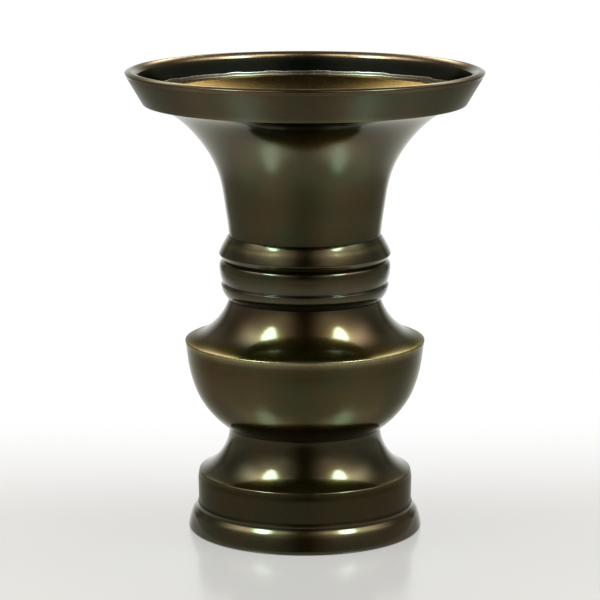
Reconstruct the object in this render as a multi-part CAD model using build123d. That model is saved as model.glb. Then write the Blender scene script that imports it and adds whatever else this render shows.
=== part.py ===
from build123d import *
import os

# A turned bronze flower vase of gu form: cast sections stacked on one axis, with a lift-out liner.
# Millimetres, +Z up, origin at the centre of the face that the vase stands on.

# Fits
slip = 0.05
liner_slip = 0.6
register_slip = 0.1
pocket_slip = 0.3
bolt_slip = 0.2

# Base ring and base plate
base_skirt_lean = 1.8
base_edge_round = 1.1
base_skirt_height = 5.0
base_cavetto_width = 1.05
base_skirt_swell = 0.25
base_cavetto_height = 2.5
base_cavetto_hollow = 0.25
base_step = 0.7
base_spigot_height = 4.0
base_spigot_wall = 2.4
plate_seat = 2.4
plate_recess = 1.0
plate_thickness = 1.2

# Foot: drum below, cove above
drum_radius = 35.1
drum_height = 8.2
drum_hollow = 0.15
drum_draft = 0.25
drum_shoulder_height = 2.7
drum_shoulder_swell = 0.25
drum_shoulder_set = 0.7
cove_height = 14.45
cove_hollow = 2.7
foot_top_radius = 24.75
foot_wall = 3.0
foot_deck = 4.0

# Bowl
bowl_overhang = 0.1
bowl_height = 25.75
bowl_swell = 3.1
bowl_inner_swell = 1.9
bowl_floor = 3.6
bowl_wall = 3.2
bowl_rim_depth = 7.5
bowl_boss_radius = 12.0
bowl_boss_height = 2.0
keel_radius = 39.35
keel_draft = 0.2
keel_land = 2.45

# Shoulder
shoulder_height = 14.55
shoulder_hollow = 2.4
shoulder_wall_hollow = 1.2
shoulder_deck = 4.5
waist_radius = 24.75
tongue_wall = 2.0
tongue_length = 5.0

# Collar rings
taper_height = 4.0
taper_spread = 2.25
bead_height = 2.3
bead_swell = 0.35
fine_groove_depth = 0.4
fine_groove_height = 0.6
lower_swell_step = 0.2
lower_swell_height = 4.6
lower_swell = 0.9
lower_crown_spread = 0.4
lower_crown_height = 1.6
lower_crown_swell = 0.48
collar_groove_depth = 2.1
upper_undercut_height = 1.8
upper_corner_spread = 2.9
upper_face_height = 4.0
upper_face_swell = 0.5
upper_face_lean = 2.0
upper_bevel_height = 1.4
upper_bevel_width = 1.2

# Neck
collar_wall = 1.85
neck_spigot_wall = 1.7
neck_spigot_tail = 1.2
neck_foot_slope = 0.04
neck_low_spread = 1.15
neck_low_rise = 10.7
neck_mid_spread = 3.35
neck_mid_rise = 21.4
flare_mid_spread = 11.5
flare_mid_rise = 34.6
flare_radius = 48.0
flare_rise = 43.0
flare_slope = 0.36
bore_rise = 8.0
bore_slope = 0.7
neck_wall = 2.5
flare_wall_in = 1.9
flare_wall_up = 1.6
flange_rise = 44.8
flange_lip = 2.0
flange_thickness = 1.4
flange_setback = 0.3
nut_wall = 2.3
nut_height = 4.2
nut_slot_width = 3.0
nut_slot_depth = 1.4
nut_slot_reach = 1.5
nut_slots = 4

# Mouth band
band_ledge = 1.3
band_foot_wall = 2.3
band_rise = 6.2
band_lean = 2.45
band_wall = 2.35
lip_overhang = 3.35
lip_thickness = 3.0
lip_drop = 1.8
lip_round = 1.5
lip_round_swell = 0.45
lip_width = 4.5
lip_slope = 1.0
lip_crown = 0.24

# Liner
liner_wall = 0.8
liner_rim_overhang = 0.3
liner_rim_width = 2.6
liner_rim_height = 2.6
liner_rim_flat = 0.4
dish_drop = 6.5
liner_collar_length = 6.0
liner_foot_gap = 3.35

# Foot bolt
bolt_radius = 4.0
bolt_end = 2.0
hex_flats = 13.0
bolt_head_height = 5.3
foot_nut_height = 6.5
washer_radius = 8.0
washer_thickness = 1.6
seal_radius = 9.0
seal_thickness = 1.5

# Levels of the seats, from the table up
base_top = base_edge_round + base_skirt_height + base_cavetto_height
plate_seat_level = plate_recess + plate_thickness
drum_shoulder_level = base_top + drum_height
ridge_level = drum_shoulder_level + drum_shoulder_height
foot_top = ridge_level + cove_height
bowl_floor_top = foot_top + bowl_floor
land_level = foot_top + bowl_height
keel_level = land_level + keel_land
waist_level = keel_level + shoulder_height
bead_level = waist_level + taper_height
fine_groove_level = bead_level + bead_height
lower_swell_level = fine_groove_level + fine_groove_height
lower_crown_level = lower_swell_level + lower_swell_height
collar_seam = lower_crown_level + lower_crown_height
upper_corner_level = collar_seam + upper_undercut_height
upper_crest_level = upper_corner_level + upper_face_height
neck_seat = upper_crest_level + upper_bevel_height
flange_level = neck_seat + flange_rise
mouth_floor = flange_level + flange_thickness
band_bottom = flange_level - band_ledge
band_top = band_bottom + band_rise
lip_bottom = band_top + lip_drop
lip_top = lip_bottom + lip_thickness
nut_seat = waist_level - shoulder_deck
nut_bottom = nut_seat - nut_height
spigot_bottom = nut_bottom - neck_spigot_tail
liner_sheet_level = mouth_floor + liner_wall
dish_bottom = liner_sheet_level - dish_drop
bolt_head_bottom = bowl_floor_top + seal_thickness
bolt_head_top = bolt_head_bottom + bolt_head_height
liner_bottom = bolt_head_top + liner_foot_gap + liner_wall
foot_deck_under = foot_top - foot_deck
foot_nut_top = foot_deck_under - washer_thickness
foot_nut_bottom = foot_nut_top - foot_nut_height

# Radii, each from the piece that it meets
cavetto_radius = drum_radius + base_step
base_shoulder_radius = cavetto_radius + base_cavetto_width
base_radius = base_shoulder_radius + base_skirt_lean
drum_shoulder_radius = drum_radius + drum_draft
ridge_radius = drum_shoulder_radius - drum_shoulder_set
drum_bore = drum_radius - foot_wall
ring_bore = drum_bore - slip - base_spigot_wall
plate_radius = ring_bore + plate_seat
bowl_foot_radius = foot_top_radius + bowl_overhang
bowl_mouth = keel_radius - bowl_wall
tongue_radius = bowl_mouth - slip
bead_radius = waist_radius + taper_spread
fine_groove_radius = bead_radius - fine_groove_depth
lower_swell_foot_radius = fine_groove_radius + lower_swell_step
lower_crown_radius = lower_swell_foot_radius + lower_crown_spread
collar_groove_radius = lower_crown_radius - collar_groove_depth
upper_corner_radius = collar_groove_radius + upper_corner_spread
upper_crest_radius = upper_corner_radius - upper_face_lean
neck_radius = upper_crest_radius - upper_bevel_width
neck_spigot_radius = waist_radius - collar_wall
neck_bore_radius = neck_spigot_radius - neck_spigot_wall
neck_low_radius = neck_radius + neck_low_spread
neck_mid_radius = neck_radius + neck_mid_spread
flare_mid_radius = neck_radius + flare_mid_spread
collar_bore = neck_spigot_radius + slip
nut_radius = collar_bore + nut_wall
nut_pocket = nut_radius + pocket_slip
flange_radius = flare_radius + flange_lip
band_radius = flange_radius + band_foot_wall
band_top_radius = band_radius + band_lean
lip_radius = band_top_radius + lip_overhang
liner_radius = neck_bore_radius - liner_slip
liner_bore = liner_radius - liner_wall
liner_rim_radius = flange_radius + liner_rim_overhang
liner_rim_inner = liner_rim_radius - liner_rim_width
washer_bore = bolt_radius + bolt_slip


def turned(*outline):
    """A solid turned about Z from a closed outline of (radius, height) curves."""
    edges = [edge for curve in outline for edge in curve.edges()]
    return revolve(Plane.XZ * make_face(edges), Axis.Z)


def turned_tube(outer, inner, bottom, top):
    """A plain turned ring or tube."""
    return turned(Polyline((inner, bottom), (outer, bottom), (outer, top), (inner, top), close=True))


def hexagon_bar(bottom, height):
    """A hexagon of the bolt's spanner size."""
    return extrude(Plane.XY.offset(bottom) * RegularPolygon(hex_flats / 2, 6, major_radius=False), height)


def base_ring():
    """The moulded ring that the vase stands on; its spigot enters the drum."""
    rest_radius = base_radius - base_edge_round
    skirt_top = base_edge_round + base_skirt_height
    spigot_radius = drum_bore - slip
    spigot_top = base_top + base_spigot_height
    return turned(
        RadiusArc((rest_radius, 0), (base_radius, base_edge_round), -base_edge_round),
        SagittaArc((base_radius, base_edge_round), (base_shoulder_radius, skirt_top), -base_skirt_swell),
        SagittaArc((base_shoulder_radius, skirt_top), (cavetto_radius, base_top), base_cavetto_hollow),
        Polyline((cavetto_radius, base_top), (spigot_radius, base_top), (spigot_radius, spigot_top),
                 (ring_bore, spigot_top), (ring_bore, plate_seat_level),
                 (plate_radius + slip, plate_seat_level), (plate_radius + slip, 0), (rest_radius, 0)),
    )


def base_plate():
    """The disc pressed into the base ring from below."""
    return Pos(0, 0, plate_recess) * Cylinder(
        plate_radius, plate_thickness, align=(Align.CENTER, Align.CENTER, Align.MIN))


def foot():
    """Drum and cove in one casting, with a deck for the bowl and a bolt hole."""
    recess_radius = bowl_boss_radius + register_slip
    recess_floor = foot_top - bowl_boss_height - register_slip
    return turned(
        Line((drum_bore, base_top), (drum_radius, base_top)),
        SagittaArc((drum_radius, base_top), (drum_shoulder_radius, drum_shoulder_level), drum_hollow),
        SagittaArc((drum_shoulder_radius, drum_shoulder_level), (ridge_radius, ridge_level),
                   -drum_shoulder_swell),
        SagittaArc((ridge_radius, ridge_level), (foot_top_radius, foot_top), cove_hollow),
        Polyline((foot_top_radius, foot_top), (recess_radius, foot_top), (recess_radius, recess_floor),
                 (washer_bore, recess_floor), (washer_bore, foot_deck_under),
                 (foot_top_radius - foot_wall, foot_deck_under)),
        SagittaArc((foot_top_radius - foot_wall, foot_deck_under), (drum_bore, ridge_level - foot_wall),
                   -cove_hollow),
        Line((drum_bore, ridge_level - foot_wall), (drum_bore, base_top)),
    )


def bowl():
    """The round-bottomed bowl up to the keel, with a boss that centres it on the foot."""
    land_radius = keel_radius - keel_draft
    wall_foot = keel_level - bowl_rim_depth
    floor_radius = bowl_foot_radius - bowl_wall
    boss_bottom = foot_top - bowl_boss_height
    return turned(
        SagittaArc((bowl_foot_radius, foot_top), (land_radius, land_level), -bowl_swell),
        Polyline((land_radius, land_level), (keel_radius, keel_level), (bowl_mouth, keel_level),
                 (bowl_mouth, wall_foot)),
        SagittaArc((bowl_mouth, wall_foot), (floor_radius, bowl_floor_top), bowl_inner_swell),
        Polyline((floor_radius, bowl_floor_top), (washer_bore, bowl_floor_top), (washer_bore, boss_bottom),
                 (bowl_boss_radius, boss_bottom), (bowl_boss_radius, foot_top),
                 (bowl_foot_radius, foot_top)),
    )


def shoulder():
    """The hollow-curved shoulder; its tongue enters the bowl and its deck takes the ring nut."""
    tongue_bore = tongue_radius - tongue_wall
    tongue_bottom = keel_level - tongue_length
    return turned(
        SagittaArc((keel_radius, keel_level), (waist_radius, waist_level), shoulder_hollow),
        Polyline((waist_radius, waist_level), (collar_bore, waist_level), (collar_bore, nut_seat),
                 (nut_pocket, nut_seat), (nut_pocket, nut_bottom)),
        SagittaArc((nut_pocket, nut_bottom), (tongue_bore, keel_level), -shoulder_wall_hollow),
        Polyline((tongue_bore, keel_level), (tongue_bore, tongue_bottom), (tongue_radius, tongue_bottom),
                 (tongue_radius, keel_level), (keel_radius, keel_level)),
    )


def neck_ring_nut():
    """The slotted ring nut on the neck's spigot, tight against the shoulder's deck."""
    ring = turned_tube(nut_radius, collar_bore, nut_bottom, nut_seat)
    slot = Box(2 * nut_slot_reach, nut_slot_width, nut_slot_depth,
               align=(Align.CENTER, Align.CENTER, Align.MIN))
    for place in PolarLocations(nut_radius, nut_slots):
        ring -= Pos(0, 0, nut_bottom) * place * slot
    return ring


def lower_collar_ring():
    """The taller ring: taper, small bead, fine groove, swell and rounded crown."""
    return turned(
        Polyline((collar_bore, waist_level), (waist_radius, waist_level), (bead_radius, bead_level)),
        SagittaArc((bead_radius, bead_level), (fine_groove_radius, fine_groove_level), -bead_swell),
        Line((fine_groove_radius, fine_groove_level), (lower_swell_foot_radius, lower_swell_level)),
        SagittaArc((lower_swell_foot_radius, lower_swell_level), (lower_crown_radius, lower_crown_level),
                   -lower_swell),
        SagittaArc((lower_crown_radius, lower_crown_level), (collar_groove_radius, collar_seam),
                   -lower_crown_swell),
        Polyline((collar_groove_radius, collar_seam), (collar_bore, collar_seam),
                 (collar_bore, waist_level)),
    )


def upper_collar_ring():
    """The upper ring: undercut below, then a swelling face and a bevel under the neck."""
    return turned(
        Polyline((collar_bore, collar_seam), (collar_groove_radius, collar_seam),
                 (upper_corner_radius, upper_corner_level)),
        SagittaArc((upper_corner_radius, upper_corner_level), (upper_crest_radius, upper_crest_level),
                   -upper_face_swell),
        Polyline((upper_crest_radius, upper_crest_level), (neck_radius, neck_seat), (collar_bore, neck_seat),
                 (collar_bore, collar_seam)),
    )


def neck():
    """The trumpet neck, with a flange under the mouth and a long spigot through the collar."""
    rim_radius = liner_rim_inner + flange_setback
    outside = Spline(
        (neck_radius, neck_seat), (neck_low_radius, neck_seat + neck_low_rise),
        (neck_mid_radius, neck_seat + neck_mid_rise), (flare_mid_radius, neck_seat + flare_mid_rise),
        (flare_radius, neck_seat + flare_rise),
        tangents=((neck_foot_slope, 1), (1, flare_slope)))
    inside = Spline(
        (neck_bore_radius, neck_seat + bore_rise), (neck_mid_radius - neck_wall, neck_seat + neck_mid_rise),
        (flare_mid_radius - flare_wall_in, neck_seat + flare_mid_rise + flare_wall_up),
        (rim_radius, mouth_floor), tangents=((0, 1), (1, bore_slope)))
    return turned(
        Polyline((neck_bore_radius, neck_seat + bore_rise), (neck_bore_radius, spigot_bottom),
                 (neck_spigot_radius, spigot_bottom), (neck_spigot_radius, neck_seat),
                 (neck_radius, neck_seat)),
        outside,
        Polyline((flare_radius, neck_seat + flare_rise), (flare_radius, flange_level),
                 (flange_radius, flange_level), (flange_radius, mouth_floor), (rim_radius, mouth_floor)),
        inside,
    )


def mouth_band():
    """The band round the mouth, stepped inside for the neck's flange, with its rounded lip."""
    lip_inner = lip_radius - lip_width
    wall_foot = band_radius + band_lean * (mouth_floor - band_bottom) / band_rise - band_wall
    wall_top = band_top_radius - band_wall + band_lean * lip_drop / band_rise
    lip_middle = lip_bottom + lip_round
    lip_in_top = lip_top - lip_slope
    crown = (lip_radius - lip_round, lip_top)
    under = (lip_radius - lip_round, lip_bottom)
    return turned(
        Polyline((flare_radius + slip, band_bottom), (band_radius, band_bottom), (band_top_radius, band_top),
                 under),
        RadiusArc(under, (lip_radius, lip_middle), -lip_round),
        SagittaArc((lip_radius, lip_middle), crown, -lip_round_swell),
        SagittaArc(crown, (lip_inner, lip_in_top), -lip_crown),
        Polyline((lip_inner, lip_in_top), (wall_top, lip_bottom), (wall_foot, mouth_floor),
                 (flange_radius + slip, mouth_floor), (flange_radius + slip, flange_level),
                 (flare_radius + slip, flange_level), (flare_radius + slip, band_bottom)),
    )


def liner_flange():
    """The liner's dished flange with its rolled rim; its collar is soldered round the tube."""
    rim_top = mouth_floor + liner_rim_height
    rim_side = mouth_floor + liner_rim_height / 2
    collar_inner = liner_radius + slip
    collar_outer = collar_inner + liner_wall
    flat_outer = liner_rim_radius - liner_rim_flat
    rim_middle = liner_rim_radius - liner_rim_width / 2
    return turned(
        Line((liner_rim_inner, mouth_floor), (flat_outer, mouth_floor)),
        ThreePointArc((flat_outer, mouth_floor), (liner_rim_radius, rim_side), (rim_middle, rim_top)),
        RadiusArc((rim_middle, rim_top), (liner_rim_inner, rim_side), -liner_rim_width / 2),
        Polyline((liner_rim_inner, rim_side), (liner_rim_inner, liner_sheet_level),
                 (collar_inner, dish_bottom), (collar_inner, dish_bottom - liner_collar_length),
                 (collar_outer, dish_bottom - liner_collar_length), (collar_outer, dish_bottom - liner_wall),
                 (liner_rim_inner, mouth_floor)),
    )


def liner_tube():
    """The water tube of the liner."""
    return turned_tube(liner_radius, liner_bore, liner_bottom, dish_bottom)


def liner_base():
    """The disc soldered under the tube's lower end."""
    return Pos(0, 0, liner_bottom - liner_wall) * Cylinder(
        liner_radius, liner_wall, align=(Align.CENTER, Align.CENTER, Align.MIN))


def bowl_seal():
    """The sealing washer on the bowl's floor."""
    return turned_tube(seal_radius, washer_bore, bowl_floor_top, bolt_head_bottom)


def foot_bolt():
    """The hexagon bolt from the bowl down through the foot's deck."""
    shank_bottom = foot_nut_bottom - bolt_end
    shank = Pos(0, 0, shank_bottom) * Cylinder(
        bolt_radius, bolt_head_bottom - shank_bottom, align=(Align.CENTER, Align.CENTER, Align.MIN))
    return hexagon_bar(bolt_head_bottom, bolt_head_height) + shank


def foot_washer():
    """The washer below the foot's deck."""
    return turned_tube(washer_radius, washer_bore, foot_nut_top, foot_deck_under)


def foot_nut():
    """The hexagon nut on the foot bolt."""
    bore = Pos(0, 0, foot_nut_bottom) * Cylinder(
        bolt_radius + slip, foot_nut_height, align=(Align.CENTER, Align.CENTER, Align.MIN))
    return hexagon_bar(foot_nut_bottom, foot_nut_height) - bore


pieces = (base_ring, base_plate, foot, bowl, shoulder, neck_ring_nut, lower_collar_ring,
          upper_collar_ring, neck, mouth_band, liner_flange, liner_tube, liner_base, bowl_seal,
          foot_bolt, foot_washer, foot_nut)

os.makedirs("parts", exist_ok=True)
for piece in pieces:
    export_step(piece(), f"parts/{piece.__name__}.step")
print("overall height", lip_top)
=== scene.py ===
import math
import bpy
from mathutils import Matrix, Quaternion, Vector


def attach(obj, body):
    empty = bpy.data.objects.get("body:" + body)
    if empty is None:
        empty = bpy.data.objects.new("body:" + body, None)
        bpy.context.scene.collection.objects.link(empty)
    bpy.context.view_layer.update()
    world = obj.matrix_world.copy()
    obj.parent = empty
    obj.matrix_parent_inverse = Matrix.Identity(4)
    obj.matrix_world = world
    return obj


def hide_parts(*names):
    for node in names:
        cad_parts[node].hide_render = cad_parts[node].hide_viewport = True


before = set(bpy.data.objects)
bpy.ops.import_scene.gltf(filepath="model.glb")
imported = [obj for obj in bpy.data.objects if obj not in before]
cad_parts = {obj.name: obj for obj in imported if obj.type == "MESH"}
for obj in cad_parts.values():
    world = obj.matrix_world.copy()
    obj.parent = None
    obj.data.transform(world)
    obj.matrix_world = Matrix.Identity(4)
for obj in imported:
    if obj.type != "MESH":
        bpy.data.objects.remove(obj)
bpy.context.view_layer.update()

# Base ring: the moulded ring that the vase stands on, cast in bronze and turned on the lathe,
# then browned and waxed. Its spigot is soldered into the drum above it.
STEP = 0.55
FEWEST_ON_ARC, FEWEST_ON_LINE = 8, 2


def bow(start, end, swell):
    """Points in mm, no more than about a step apart, from start up to, not including, end. They lie
    on an arc that swells to the right of its way, or on a straight line."""
    chord = math.dist(start, end)
    count = max(FEWEST_ON_ARC if swell else FEWEST_ON_LINE, math.ceil(chord / STEP))
    if not swell:
        return [(start[0] + (end[0] - start[0]) * i / count, start[1] + (end[1] - start[1]) * i / count)
                for i in range(count)]
    along = ((end[0] - start[0]) / chord, (end[1] - start[1]) / chord)
    right = (along[1], -along[0])
    radius = (chord * chord / 4 + swell * swell) / (2 * swell)
    centre = (start[0] + along[0] * chord / 2 + right[0] * (swell - radius),
              start[1] + along[1] * chord / 2 + right[1] * (swell - radius))
    first = math.atan2(start[1] - centre[1], start[0] - centre[0])
    sweep = 2 * math.asin(chord / (2 * abs(radius))) * (1 if swell > 0 else -1)
    return [(centre[0] + abs(radius) * math.cos(first + sweep * i / count),
             centre[1] + abs(radius) * math.sin(first + sweep * i / count)) for i in range(count)]


MM = 0.001
ROUNDING_STEPS = 6
LEAST_GAP = 0.05
# How far a corner's value spreads along the outline: worn brightening, and painted shade where it is below
# zero.
WORN_REACH, SHADE_REACH = 1.1, 0.6


def turned_line(*corners):
    """A closed lathe outline from corners (radius, height, soft, swell, wear), all lengths in mm.
    soft is how far the corner is rounded back, swell bows the line to the next corner, and wear
    is how far the corner is rubbed bright, or, below zero, how dark it is painted as shade in a
    crease or joint, or to dim an edge's highlight."""
    corners = [tuple(c) + (0,) * (5 - len(c)) for c in corners]
    after = corners[1:] + corners[:1]
    runs = [bow(a[:2], b[:2], a[3]) + [b[:2]] for a, b in zip(corners, after)]
    points = []
    for i, (corner, following) in enumerate(zip(corners, after)):
        here, soft = corner[:2], corner[2]
        if soft:
            ends = []
            for run in (runs[i - 1][::-1], runs[i]):
                far = next((q for q in run if math.dist(q, here) >= soft), run[-1])
                share = soft / math.dist(far, here)
                ends.append((here[0] + (far[0] - here[0]) * share, here[1] + (far[1] - here[1]) * share))
            for k in range(ROUNDING_STEPS + 1):
                t = k / ROUNDING_STEPS
                points.append(tuple((1 - t) ** 2 * a + 2 * t * (1 - t) * b + t * t * c
                                    for a, b, c in zip(ends[0], here, ends[1])))
        else:
            points.append(here)
        points += [q for q in runs[i][1:-1] if q[0] > 0 and math.dist(q, here) > soft + LEAST_GAP
                   and math.dist(q, following[:2]) > following[2] + LEAST_GAP]
    # Painted shade where a corner's value is below zero: darker in creases and joints, and on a few edges
    # to dim their highlight.
    rubbed = [sum(wear_and_shade * math.exp(-(math.dist(q, (r, z)) / (WORN_REACH if wear_and_shade > 0 else SHADE_REACH)) ** 2)
                  for r, z, _, _, wear_and_shade in corners) for q in points]
    return [(r * MM, z * MM, wear_and_shade) for (r, z), wear_and_shade in zip(points, rubbed)]


TURNS = 192
SHARP_ANGLE = math.radians(32)


def turned_mesh(name, line, ripple=None):
    """The outline turned about Z into a closed mesh, with the wear and painted shade kept on its points.
    A ripple says how far out and up each point is shifted."""
    verts, wear_and_shade, rows = [], [], []
    for r, z, w in line:
        row = []
        for k in range(TURNS if r > 0 else 1):
            angle = 2 * math.pi * k / TURNS
            dr, dz = ripple(r, z, angle) if ripple else (0, 0)
            row.append(len(verts))
            verts.append(((r + dr) * math.cos(angle), (r + dr) * math.sin(angle), z + dz))
            wear_and_shade.append(w)
        rows.append(row)
    faces = []
    for low, high in zip(rows, rows[1:] + rows[:1]):
        for k in range(TURNS):
            n = (k + 1) % TURNS
            ring = [low[k % len(low)], low[n % len(low)], high[n % len(high)], high[k % len(high)]]
            ring = list(dict.fromkeys(ring))
            if len(ring) > 2:
                faces.append(ring)
    mesh = bpy.data.meshes.new(name)
    mesh.from_pydata(verts, [], faces)
    mesh.shade_smooth()
    mesh.set_sharp_from_angle(angle=SHARP_ANGLE)
    mesh.attributes.new("wear_and_shade", "FLOAT", "POINT").data.foreach_set("value", wear_and_shade)
    piece = bpy.data.objects.new(name, mesh)
    bpy.context.scene.collection.objects.link(piece)
    return piece


class Field:
    """A value or colour that varies over a surface: one socket, with arithmetic on it."""

    # Where a mix node has its sockets for two colours.
    SHARE, FIRST, SECOND, MIXED = 0, 6, 7, 2

    def __init__(self, tree, socket):
        self.tree, self.socket = tree, socket

    def node(self, kind, settings=None, inputs=None, out=0):
        """A new node with those settings and inputs, and the field that comes out of it."""
        made = self.tree.nodes.new(kind)
        for key, value in (settings or {}).items():
            setattr(made, key, value)
        for key, value in (inputs or {}).items():
            if isinstance(value, Field):
                self.tree.links.new(value.socket, made.inputs[key])
            else:
                made.inputs[key].default_value = value
        return Field(self.tree, made.outputs[out])

    def maths(self, operation, a, b=0.0, clamp=False):
        """One sum with two fields or plain numbers, kept between 0 and 1 if it is clamped."""
        return self.node("ShaderNodeMath", {"operation": operation, "use_clamp": clamp}, {0: a, 1: b})

    def __add__(self, other):
        return self.maths("ADD", self, other)

    def __sub__(self, other):
        return self.maths("SUBTRACT", self, other)

    def __rsub__(self, other):
        return self.maths("SUBTRACT", other, self)

    def __mul__(self, other):
        return self.maths("MULTIPLY", self, other)

    def __pow__(self, other):
        return self.maths("POWER", self, other)

    def __abs__(self):
        return self.maths("ABSOLUTE", self)

    __radd__, __rmul__ = __add__, __mul__

    def axis(self, name):
        """The X, Y or Z of a place or a direction."""
        return self.node("ShaderNodeSeparateXYZ", {}, {0: self}, out=name)

    def held(self):
        """The value kept between 0 and 1."""
        return self.maths("ADD", self, 0.0, clamp=True)

    def between(self, start, end):
        """A straight step from 0 at start to 1 at end."""
        return self.node("ShaderNodeMapRange", {}, {"Value": self, "From Min": start, "From Max": end})

    def eased(self, start, end):
        """A smooth step from 0 at start to 1 at end."""
        return self.node("ShaderNodeMapRange", {"interpolation_type": "SMOOTHSTEP"},
                         {"Value": self, "From Min": start, "From Max": end})

    def tint(self, a, b):
        """Colour a where the value is 0, b where it is 1."""
        return self.node("ShaderNodeMix", {"data_type": "RGBA"},
                         {Field.SHARE: self, Field.FIRST: a, Field.SECOND: b}, out=Field.MIXED)

    def shaded(self, shade, share):
        """The colour multiplied by a shade, with the strength that share says."""
        return self.node("ShaderNodeMix", {"data_type": "RGBA", "blend_type": "MULTIPLY"},
                         {Field.SHARE: share, Field.FIRST: self, Field.SECOND: shade}, out=Field.MIXED)


def blank(name):
    """A new material, its shader and the field of places on the piece, in metres."""
    material = bpy.data.materials.new(name)
    material.use_nodes = True
    tree = material.node_tree
    shader = next(n for n in tree.nodes if n.type == "BSDF_PRINCIPLED")
    place = Field(tree, tree.nodes.new("ShaderNodeTexCoord").outputs["Object"])
    return material, shader, place


def put(shader, **fields):
    """Feeds the shader's sockets, links for fields and plain values for the rest."""
    for key, value in fields.items():
        socket = shader.inputs[key.replace("_", " ")]
        if isinstance(value, Field):
            value.tree.links.new(value.socket, socket)
        else:
            socket.default_value = value


def cloud(place, size, detail=3.0, rough=0.55):
    """Soft noise with spots of about that size in mm."""
    return place.node("ShaderNodeTexNoise", {}, {"Vector": place, "Scale": 1 / (size * MM),
                                                 "Detail": detail, "Roughness": rough})


def off_axis(place):
    """How far a place is from the vase's axis."""
    flat = place.node("ShaderNodeVectorMath", {"operation": "MULTIPLY"}, {0: place, 1: (1, 1, 0)})
    return flat.node("ShaderNodeVectorMath", {"operation": "LENGTH"}, {0: flat}, out="Value")


LINE_SLANT = 0.7


def lathe_lines(place, pitch):
    """Noise that runs round the axis, as a lathe tool leaves it, with lines of about that pitch in mm."""
    across = (off_axis(place) * LINE_SLANT + place.axis("Z")) * (1 / (pitch * MM))
    return place.node("ShaderNodeTexNoise", {"noise_dimensions": "1D"},
                      {"W": across, "Scale": 1.0, "Detail": 2.0})


def wear_and_shade_part(place):
    """The wear and painted shade kept on a turned mesh's points: rubbed bright above zero, painted shade
    below it.
    """
    return place.node("ShaderNodeAttribute", {"attribute_name": "wear_and_shade"}, {}, out="Fac")


def browned_bronze(name, olive, umber, dull, wax, apron=(-2, -1), rubbed=(0.30, 0.25, 0.14, 1)):
    """Bronze browned with a wax patina: olive and red-brown clouds, bright where it is rubbed, and
    painted dark as shade where the wear is below zero. The polish fades between the two heights of
    the apron, and is gone below them. An apron that isn't given lies far below the vase."""
    material, shader, place = blank(name)
    # Painted shade: the dark colour laid on creases, joints and dimmed edges where the wear is below zero.
    crease_shade = (0.012, 0.011, 0.006, 1)
    dim, lit = (0.45, 0.45, 0.45, 1), (1.5, 1.5, 1.5, 1)
    wear_and_shade = wear_and_shade_part(place)
    dulled = 1 - place.axis("Z").eased(*apron)
    clouds = cloud(place, 20, 4.0).between(0.38, 0.62)
    specks = cloud(place, 2.2, 4.0, 0.65)
    colour = clouds.tint(olive, umber).shaded(specks.tint(dim, lit), 0.35)
    # Painted shade where the wear is below zero.
    colour = (wear_and_shade * -1.0).held().tint(colour, crease_shade)
    colour = (wear_and_shade * (0.35 + specks)).held().tint(colour, rubbed)
    relief = lathe_lines(place, 0.5) * 0.35 + specks * 0.4 + cloud(place, 0.5, 2.0) * 0.25
    bump = relief.node("ShaderNodeBump", {}, {"Strength": 0.05, "Distance": 0.0004, "Height": relief})
    put(shader, Base_Color=colour, Metallic=0.96, Normal=bump,
        Roughness=dull + clouds * 0.04 + specks * 0.08 + dulled * 0.075,
        Coat_Weight=wax - dulled * (0.8 * wax), Coat_Roughness=0.8 * dull, Specular_Tint=(0.5, 0.5, 0.4, 1))
    return material


bronze = browned_bronze("browned_bronze", (0.026, 0.026, 0.005, 1), (0.042, 0.025, 0.004, 1), 0.15, 0.75)

base_ring = turned_mesh("base_ring_turned", turned_line(
    (37.4, 0, 0, 0.3), (38.4, 0.95, 0, 0.15), (36.95, 6.1, 0.7, 0, 0.05), (35.6, 7.45, 0.2, -0.05),
    (35.4, 8.6, 0, 0, -0.3), (32.05, 8.6), (32.05, 12.6), (29.65, 12.6), (29.65, 2.2), (32.1, 2.2),
    (32.1, 0, 0.3)))
base_ring.data.materials.append(bronze)
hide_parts("base_ring")
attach(base_ring, "vase")

# Base plate: a bronze disc cut from sheet, faced on the lathe and pressed into the base ring's
# rebate from below, so that the foot is closed.
base_plate = turned_mesh("base_plate_turned", turned_line(
    (0, 1.0), (12, 1.0), (31.8, 1.0, 0.2, 0, 0.5), (32.05, 1.25), (32.05, 2.2), (0, 2.2)))
base_plate.data.materials.append(bronze)
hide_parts("base_plate")
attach(base_plate, "vase")

# Foot: one bronze casting, a low drum with a hollow cove above it, turned all over. The drum's
# outside is a duller, darker brown: partly its own duller finish, partly painted shade for a
# darker reflection than the pale table gives. The deck carries the bowl, which is held by a bolt
# through the middle.
DRUM_TOP, DRUM_INSIDE = 0.0194, 0.0335
foot = turned_mesh("foot_turned", turned_line(
    (32.1, 8.6), (35.4, 8.6, 0, -0.08, -0.3), (35.05, 9.9), (35.2, 17.0, 0.8),
    (34.8, 19.5, 0.2, -2.7, 0.15), (24.75, 33.95, 0.2, 0, -0.6), (12.1, 33.95), (12.1, 31.85),
    (4.2, 31.85), (4.2, 29.95), (21.75, 29.95, 0, 2.7), (32.1, 16.5)))
# Partly painted shade: the drum's outside is darker, for a darker reflection than the pale table gives, as
# well as duller.
drum_dull_and_shaded = browned_bronze("drum_dull_and_shaded", (0.020, 0.018, 0.004, 1), (0.030, 0.018, 0.003, 1), 0.24, 0.25)
for finish in (bronze, drum_dull_and_shaded):
    foot.data.materials.append(finish)
for face in foot.data.polygons:
    face.material_index = 1 if face.center.z < DRUM_TOP and face.center.xy.length > DRUM_INSIDE else 0
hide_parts("foot")
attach(foot, "vase")

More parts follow.
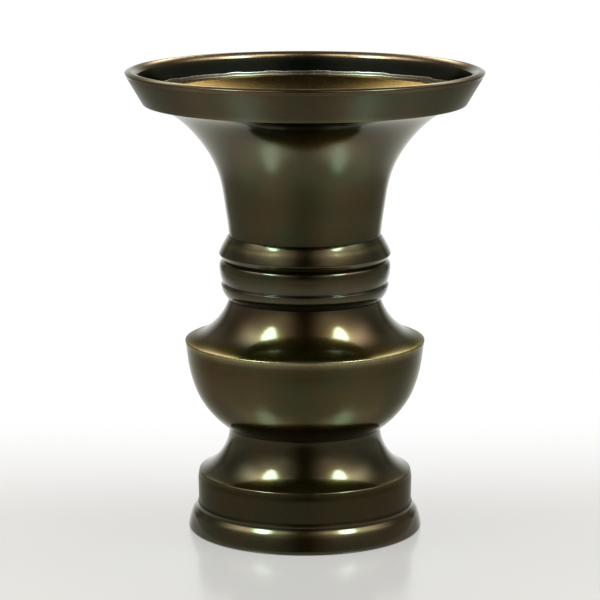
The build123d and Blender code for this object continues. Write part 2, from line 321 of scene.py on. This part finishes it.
# Bowl: a round-bottomed bronze casting with an upright land below its keel. A boss under it
# centres it on the foot.
bowl = turned_mesh("bowl_turned", turned_line(
    (24.85, 33.95, 0.2, 1.05, -0.6), (35.2, 45.6, 0, 0.5), (38.45, 58.0), (39.0, 62.15, 0, 0, 0.5),
    (36.15, 62.15), (36.15, 54.65, 0, -1.9), (21.65, 37.55), (4.2, 37.55), (4.2, 31.95), (12, 31.95),
    (12, 33.95)))
bowl_brown = browned_bronze("bowl_brown", (0.034, 0.031, 0.006, 1), (0.056, 0.032, 0.005, 1), 0.16, 0.38)
bowl.data.materials.append(bowl_brown)
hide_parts("bowl")
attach(bowl, "vase")

# Foot bolt with its nut, washer and seal: a zinc-plated hexagon bolt and a rubber washer under
# its head, inside the vase.
plated_steel, steel_shader, place = blank("plated_steel")
haze = cloud(place, 3)
put(steel_shader, Base_Color=haze.tint((0.42, 0.42, 0.40, 1), (0.60, 0.59, 0.55, 1)), Metallic=1.0,
    Roughness=0.3 + haze * 0.15)
seal_rubber, rubber_shader, place = blank("seal_rubber")
bloom = cloud(place, 1.5, 4.0)
put(rubber_shader, Base_Color=bloom.tint((0.02, 0.02, 0.02, 1), (0.06, 0.058, 0.055, 1)),
    Roughness=0.7 + bloom * 0.2)


def coat(node, finish):
    """Gives that finish alone to a CAD node, which keeps its own shape."""
    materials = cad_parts[node].data.materials
    materials.clear()
    materials.append(finish)


for node in ("foot_bolt", "foot_nut", "foot_washer"):
    coat(node, plated_steel)
coat("bowl_seal", seal_rubber)

# Shoulder: the hollow-curved bronze ring between keel and collar, polished down to a dull apron
# above the keel. Its tongue is soldered into the bowl, so that the keel's seam hardly shows.
APRON = (0.0638, 0.0664)
shoulder = turned_mesh("shoulder_turned", turned_line(
    (39.0, 62.15, 0, 0, 0.5), (39.2, 63.05, 0.35, -0.13, 0.55), (34.6, 64.9, 0, -1.6),
    (24.75, 76.7, 0.2, 0, -0.4), (22.95, 76.7), (22.95, 72.2), (25.55, 72.2), (25.55, 68.0, 0, 1.2),
    (34.1, 62.15), (34.1, 57.15), (36.1, 57.15), (36.1, 62.15)))
shoulder_bronze = browned_bronze("shoulder_bronze", (0.032, 0.028, 0.005, 1), (0.052, 0.027, 0.004, 1),
                                 0.15, 0.75, APRON)
shoulder.data.materials.append(shoulder_bronze)
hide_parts("shoulder")
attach(shoulder, "vase")

# Collar rings: two loose bronze rings on the neck's spigot, the lower with a taper, a small bead,
# a fine groove and a swell, the upper undercut with a bevel on top.
lower_ring = turned_mesh("lower_collar_ring_turned", turned_line(
    (22.95, 76.7), (24.75, 76.7, 0.15, 0.4, -0.3), (27.15, 80.6, 0.25), (27.3, 81.5, 0.15, 0, -0.3),
    (26.65, 82.0, 0.1, 0.2, -0.6), (27.8, 86.4, 0, 0.12), (27.65, 88.75, 0.6, 0, -0.1),
    (26.5, 89.6, 0, 0, -0.2), (22.95, 89.6)))
lower_ring.data.materials.append(bronze)
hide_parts("lower_collar_ring")
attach(lower_ring, "vase")
upper_ring = turned_mesh("upper_collar_ring_turned", turned_line(
    (22.95, 89.6), (26.5, 89.6, 0, 0, -0.2), (27.05, 90.05, 0.1), (28.0, 91.6, 0.2, 0.1),
    (26.25, 95.3, 0.5, 0.1, 0.25), (24.8, 97.5, 0.1, 0, -0.2), (24.8, 97.0), (22.95, 97.0)))
upper_ring.data.materials.append(bronze)
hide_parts("upper_collar_ring")
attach(upper_ring, "vase")

# Neck: the trumpet, cast thin and turned inside and out. Its spigot goes down through the collar
# rings and the shoulder, where a slotted brass ring nut draws all of them tight.
NECK_SEAT = 97.0
STATION_STEPS = 16


def trumpet(*stations):
    """Points in mm on a smooth line through stations (radius, rise above the seat, way out, way up)."""
    points = []
    for (r0, z0, dr0, dz0), (r1, z1, dr1, dz1) in zip(stations, stations[1:]):
        pull = math.dist((r0, z0), (r1, z1))
        for i in range(STATION_STEPS):
            t = i / STATION_STEPS
            a, b = 2 * t ** 3 - 3 * t ** 2 + 1, t ** 3 - 2 * t ** 2 + t
            c, d = 3 * t ** 2 - 2 * t ** 3, t ** 3 - t ** 2
            points.append((a * r0 + b * pull * dr0 + c * r1 + d * pull * dr1,
                           NECK_SEAT + a * z0 + b * pull * dz0 + c * z1 + d * pull * dz1))
    return points + [(stations[-1][0], NECK_SEAT + stations[-1][1])]


neck_outside = trumpet((24.6, 0, 0.06, 1), (25.95, 10.7, 0.14, 0.99), (28.15, 21.4, 0.326, 0.946),
                       (36.3, 34.6, 0.664, 0.748), (48.0, 43.0, 0.941, 0.339))
neck_inside = trumpet((21.2, 8.0, 0, 1), (25.65, 21.4, 0.466, 0.885), (34.4, 36.2, 0.672, 0.741),
                      (48.0, 46.2, 0.819, 0.574))
neck_line = [(21.2, 66.8), (22.9, 66.8), (22.9, NECK_SEAT), *neck_outside,
             (48.0, 141.8), (50.0, 141.8), (50.0, 143.2), *reversed(neck_inside)]
# Painted shade: the neck is darkened round its seat, in the crease where it meets the upper collar ring.
SEAT_SHADE, SEAT_SHADE_REACH = -0.7, 0.8
neck = turned_mesh("neck_turned", [
    (r * MM, z * MM, SEAT_SHADE * math.exp(-((z - NECK_SEAT) / SEAT_SHADE_REACH) ** 2))
    for r, z in neck_line])
neck_bronze = browned_bronze("neck_bronze", (0.028, 0.031, 0.005, 1), (0.047, 0.030, 0.004, 1), 0.16, 0.65)
neck.data.materials.append(neck_bronze)
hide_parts("neck")
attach(neck, "vase")
bare_brass, brass_shader, place = blank("bare_brass")
haze = cloud(place, 2)
put(brass_shader, Base_Color=haze.tint((0.55, 0.40, 0.14, 1), (0.70, 0.54, 0.22, 1)), Metallic=1.0,
    Roughness=0.28 + haze * 0.15)
coat("neck_ring_nut", bare_brass)

# Mouth band: the leaning bronze band with its rounded, overhanging lip, turned from one casting
# and soldered round the neck's flange. The lip is rubbed copper brown, the outer face is left
# satin, and the inner wall is painted dark as shade inside the mouth.
LIP_FOOT = 0.1495
mouth_band = turned_mesh("mouth_band_turned", turned_line(
    (48.05, 140.5), (52.2, 140.5, 0.3, 0, 0.1), (57.4, 149.3, 0.5), (58.1, 150.75, 0.35, 0, -0.1),
    (56.5, 151.5, 0.5, 0.1, 0.4), (55.0, 151.0, 0.6, 0.12, 0.7), (53.7, 149.8, 0.2, 0, 0.1),
    (52.3, 143.2, 0.2, 0, -0.5), (50.05, 143.2), (50.05, 141.8), (48.05, 141.8)))
copper = browned_bronze("lip_bronze", (0.040, 0.026, 0.007, 1), (0.060, 0.030, 0.008, 1), 0.16, 0.6,
                        rubbed=(0.26, 0.175, 0.115, 1))
satin = browned_bronze("satin_bronze", (0.022, 0.022, 0.005, 1), (0.036, 0.021, 0.004, 1), 0.3, 0.4)
# Painted shade: the inner wall gets a near-black finish for the shade inside the mouth.
shaded_wall = browned_bronze("shaded_wall_bronze", (0.009, 0.013, 0.010, 1), (0.011, 0.012, 0.008, 1), 0.2, 0.3)
for finish in (copper, satin, shaded_wall):
    mouth_band.data.materials.append(finish)
for face in mouth_band.data.polygons:
    outward = face.normal.xy.dot(face.center.xy) > 0
    face.material_index = 0 if face.center.z > LIP_FOOT else 1 if outward else 2
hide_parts("mouth_band")
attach(mouth_band, "vase")

# Liner: a dish, tube and disc of thin brass sheet, soldered together and left golden brown. The
# dish is stained, and painted darker further out, as shade towards the mouth's wall. Its turned-up
# edge wavers a little, and it rests loose on the neck's flange.
OUTER_SHADE_STARTS, OUTER_SHADE_FULL = 0.027, 0.040
liner_brass, liner_shader, place = blank("liner_brass")
wear_and_shade = wear_and_shade_part(place)
stain = cloud(place, 9, 4.0).between(0.36, 0.64)
specks = cloud(place, 1.6, 4.0, 0.65)
# Painted shade: the dish darkens further out, towards the mouth's wall.
outer_shade = off_axis(place).eased(OUTER_SHADE_STARTS, OUTER_SHADE_FULL) * (0.65 + 0.3 * stain)
colour = stain.tint((0.08, 0.048, 0.02, 1), (0.19, 0.13, 0.048, 1))
colour = outer_shade.tint(colour, (0.045, 0.03, 0.02, 1))
colour = (wear_and_shade * (0.3 + specks)).held().tint(colour, (0.38, 0.38, 0.36, 1))
relief = lathe_lines(place, 0.7) * 0.5 + specks * 0.5
bump = relief.node("ShaderNodeBump", {}, {"Strength": 0.06, "Distance": 0.0004, "Height": relief})
put(liner_shader, Base_Color=colour, Metallic=1.0, Roughness=0.18 + specks * 0.14, Normal=bump,
    Specular_Tint=(0.74, 0.68, 0.52, 1))
EDGE_INSIDE, EDGE_FOOT, EDGE_RISE = 0.0470, 0.1436, 0.0018
EDGE_WANDER, EDGE_DIP = 0.00012, 0.0002


def waver(r, z, angle):
    """The turned-up edge dips and wanders a few tenths of a millimetre as it goes round."""
    share = min(1, max(0, (z - EDGE_FOOT) / EDGE_RISE)) if r > EDGE_INSIDE else 0
    wave = 0.5 * math.sin(19 * angle + 1.4 * math.sin(3 * angle)) + 0.3 * math.sin(31 * angle + 1.1)
    wave += 0.2 * math.sin(53 * angle + 2 * math.sin(5 * angle))
    return EDGE_WANDER * wave * share, EDGE_DIP * (wave - 1) * share


liner_flange = turned_mesh("liner_flange_spun", turned_line(
    (47.7, 143.2), (49.9, 143.2, 0, 0.1), (50.3, 144.6, 0, 0.08), (50.15, 145.45, 0, 0.18, 0.35),
    (49.65, 145.5, 0, 0, 0.35), (49.35, 144.4, 0.4), (47.4, 143.9, 0, -1.2), (20.65, 137.5),
    (20.65, 131.5), (21.45, 131.5), (21.45, 136.7, 0, 1.2)), waver)
liner_tube = turned_mesh("liner_tube_rolled", turned_line(
    (19.8, 48.5), (20.6, 48.5), (20.6, 137.5, 0.2), (19.8, 137.5, 0.2, 0, 0.4)))
liner_base = turned_mesh("liner_base_disc", turned_line(
    (0, 47.7), (20.4, 47.7, 0.2), (20.6, 47.9), (20.6, 48.5), (0, 48.5)))
for piece, node in ((liner_flange, "liner_flange"), (liner_tube, "liner_tube"), (liner_base, "liner_base")):
    piece.data.materials.append(liner_brass)
    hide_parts(node)
    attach(piece, "liner")

# Table: a large sheet of pale, glossy laminate that the vase stands on. It is grey round the vase
# and pales to white behind it, in a patch that widens towards the back. Far out on either side it
# is painted darker, as shade where the lamps' light falls off.
TABLE_SIDE, TABLE_FRONT, TABLE_BACK = 2, -2, 1.4
SHADED_SIDES = (0.25, 0.6)
WHITE_FRONT, WHITE_BACK, WHITE_SIDES = (-0.2, -0.085), (0.0, 0.16), (0.105, 0.23)
WHITE_WIDENS, NEAR_WHITE = 0.117, 0.42


def laid(name, *corners):
    """A flat stage sheet from its four corner points."""
    mesh = bpy.data.meshes.new(name)
    mesh.from_pydata(corners, [], [(0, 1, 2, 3)])
    sheet = bpy.data.objects.new(name, mesh)
    bpy.context.scene.collection.objects.link(sheet)
    return sheet


def whiten(shader, place, share):
    """Mixes plain white into what the camera and shiny or clear surfaces see of a stage sheet."""
    paths = [place.node("ShaderNodeLightPath", out=ray)
             for ray in ("Is Camera Ray", "Is Glossy Ray", "Is Transmission Ray")]
    seen = (paths[0] + paths[1] + paths[2]).held() * share
    white = place.node("ShaderNodeEmission", {}, {"Color": (1, 1, 1, 1), "Strength": 1.0})
    own = Field(place.tree, shader.outputs[0])
    both = place.node("ShaderNodeMixShader", {}, {0: seen, 1: own, 2: white})
    end = next(n for n in place.tree.nodes if n.type == "OUTPUT_MATERIAL")
    place.tree.links.new(both.socket, end.inputs["Surface"])


table = laid("table_top", (-TABLE_SIDE, TABLE_FRONT, 0), (TABLE_SIDE, TABLE_FRONT, 0),
             (TABLE_SIDE, TABLE_BACK, 0), (-TABLE_SIDE, TABLE_BACK, 0))
laminate, laminate_shader, place = blank("pale_laminate")
aside, back = abs(place.axis("X")), place.axis("Y")
pale = cloud(place, 1.2, 2.0).tint((0.24, 0.198, 0.19, 1), (0.275, 0.228, 0.22, 1))
# Painted shade: the laminate's colour darkens far out to either side, where the lamps' light falls off.
laminate_with_shaded_sides = aside.eased(*SHADED_SIDES).tint(pale, (0.12, 0.116, 0.108, 1))
put(laminate_shader, Base_Color=laminate_with_shaded_sides, Roughness=0.2, Specular_IOR_Level=1.0,
    Coat_Weight=1.0, Coat_IOR=2.4, Coat_Roughness=0.2)
spread = (1 - (aside - back * WHITE_WIDENS).eased(*WHITE_SIDES)) * back.eased(*WHITE_FRONT)
whiten(laminate_shader, place, (NEAR_WHITE + back.eased(*WHITE_BACK) * (1 - NEAR_WHITE)) * spread)
table.data.materials.append(laminate)

# Screen: a low board, painted white, that stands across the back edge of the table. It is plain
# white behind the vase and falls off to a grey towards its sides and top.
SCREEN_WIDE, SCREEN_HIGH = 1.3, 0.66
FADE_ASIDE, FADE_UP = (0.4, 1.08), (0.155, 0.75)
screen = laid("white_screen", (-SCREEN_WIDE, TABLE_BACK, 0), (SCREEN_WIDE, TABLE_BACK, 0),
              (SCREEN_WIDE, TABLE_BACK, SCREEN_HIGH), (-SCREEN_WIDE, TABLE_BACK, SCREEN_HIGH))
board, board_shader, place = blank("white_board")
paint = cloud(place, 0.6, 2.0).tint((0.30, 0.29, 0.27, 1), (0.34, 0.33, 0.31, 1))
put(board_shader, Base_Color=paint, Roughness=0.6)
aside, up = abs(place.axis("X")), place.axis("Z")
whiten(board_shader, place, (1 - aside.eased(*FADE_ASIDE)) * (1 - up.eased(*FADE_UP)))
screen.data.materials.append(board)

# Studio light: two soft strip lamps, one high on either side of the vase and a little in front of
# it, each rolled about its beam. The level is how bright a lamp's face looks, where 1 is white.
LAMP_WIDTH, LAMP_LENGTH = 0.18, 0.5
LAMP_ASIDE, LAMP_FRONT, LAMP_UP = 0.38, 0.11, 0.75
LAMP_AIM, LAMP_ROLL = Vector((0, 0, 0.07)), math.radians(47)
LAMP_LEVEL, LAMP_COLOUR = 27, (0.62, 0.95, 0.90)
for side in (-1, 1):
    light = bpy.data.lights.new("side_lamp", "AREA")
    light.shape, light.size, light.size_y = "ELLIPSE", LAMP_WIDTH, LAMP_LENGTH
    face_area = math.pi / 4 * LAMP_WIDTH * LAMP_LENGTH
    light.energy, light.color = math.pi * face_area * LAMP_LEVEL, LAMP_COLOUR
    holder = bpy.data.objects.new("side_lamp", light)
    bpy.context.scene.collection.objects.link(holder)
    holder.location = (side * LAMP_ASIDE, -LAMP_FRONT, LAMP_UP)
    beam = (LAMP_AIM - holder.location).to_track_quat("-Z", "Y")
    holder.rotation_euler = (beam @ Quaternion((0, 0, 1), -side * LAMP_ROLL)).to_euler()

# Room: dim, warm walls, alike on the left and the right, with the lamps' glow on them. They are
# darker above and where the camera stands. Each glow has its direction, how tight it is and its
# strength.
GLOWS = (((0.58, -0.34, 0.74), 9, 0.8), ((0.58, -0.34, 0.74), 32, 1.3), ((0.52, 0.12, 0.85), 45, 2.0),
         ((0.72, 0.08, 0.69), 40, 0.9), ((0.48, -0.68, 0.55), 50, 0.6), ((0.45, 0.12, 0.885), 24, 2.6),
         ((0.2, -0.05, 0.98), 130, 10.0), ((0.13, 0.83, 0.54), 220, 30.0), ((0.36, 0.77, 0.52), 30, 0.25))
DARKEST, SIDE_WALLS, FAR_WALL = 0.05, 0.36, 0.2
room = bpy.data.worlds.new("dim_room")
bpy.context.scene.world = room
room.use_nodes = True
sky = Field(room.node_tree, room.node_tree.nodes.new("ShaderNodeTexCoord").outputs["Generated"])
aside, ahead, above = abs(sky.axis("X")), sky.axis("Y"), sky.axis("Z")
side_walls = aside.between(0.08, 0.53455) * (1 - above.between(0, 0.83333)) * (1 - ahead.held() * 0.5)
far_wall = ahead.held() * (1 - above.between(0, 0.5))
off_middle = aside.between(0.05, 0.21667)
halved = sky.node("ShaderNodeCombineXYZ", {}, {0: aside, 1: ahead, 2: above})
glow = 0.0
for towards, tightness, strength in GLOWS:
    facing = halved.node("ShaderNodeVectorMath", {"operation": "DOT_PRODUCT"}, {0: halved, 1: towards},
                         out="Value")
    glow = glow + strength * facing.held() ** tightness
level = DARKEST + SIDE_WALLS * side_walls + FAR_WALL * far_wall + glow * off_middle
backdrop = room.node_tree.nodes["Background"]
backdrop.inputs["Color"].default_value = (1.0, 0.92, 0.76, 1)
room.node_tree.links.new(level.socket, backdrop.inputs["Strength"])

# Camera: about six vase heights away and a little above, with a long lens, looking down on the
# mouth. Its lens is shifted by a few of the picture's dots, so the vase stands right of the middle.
SHIFT_DOTS, PICTURE_DOTS = -4.9, 600
camera = bpy.data.objects.new("camera", bpy.data.cameras.new("camera"))
bpy.context.scene.collection.objects.link(camera)
camera.location = (0, -0.9079, 0.2506)
camera.rotation_euler = (math.radians(79.1), 0, 0)
camera.data.lens = 169.8
camera.data.shift_x = SHIFT_DOTS / PICTURE_DOTS
camera.data.clip_start = 0.01
bpy.context.scene.camera = camera
bpy.context.scene.view_settings.view_transform = "Standard"
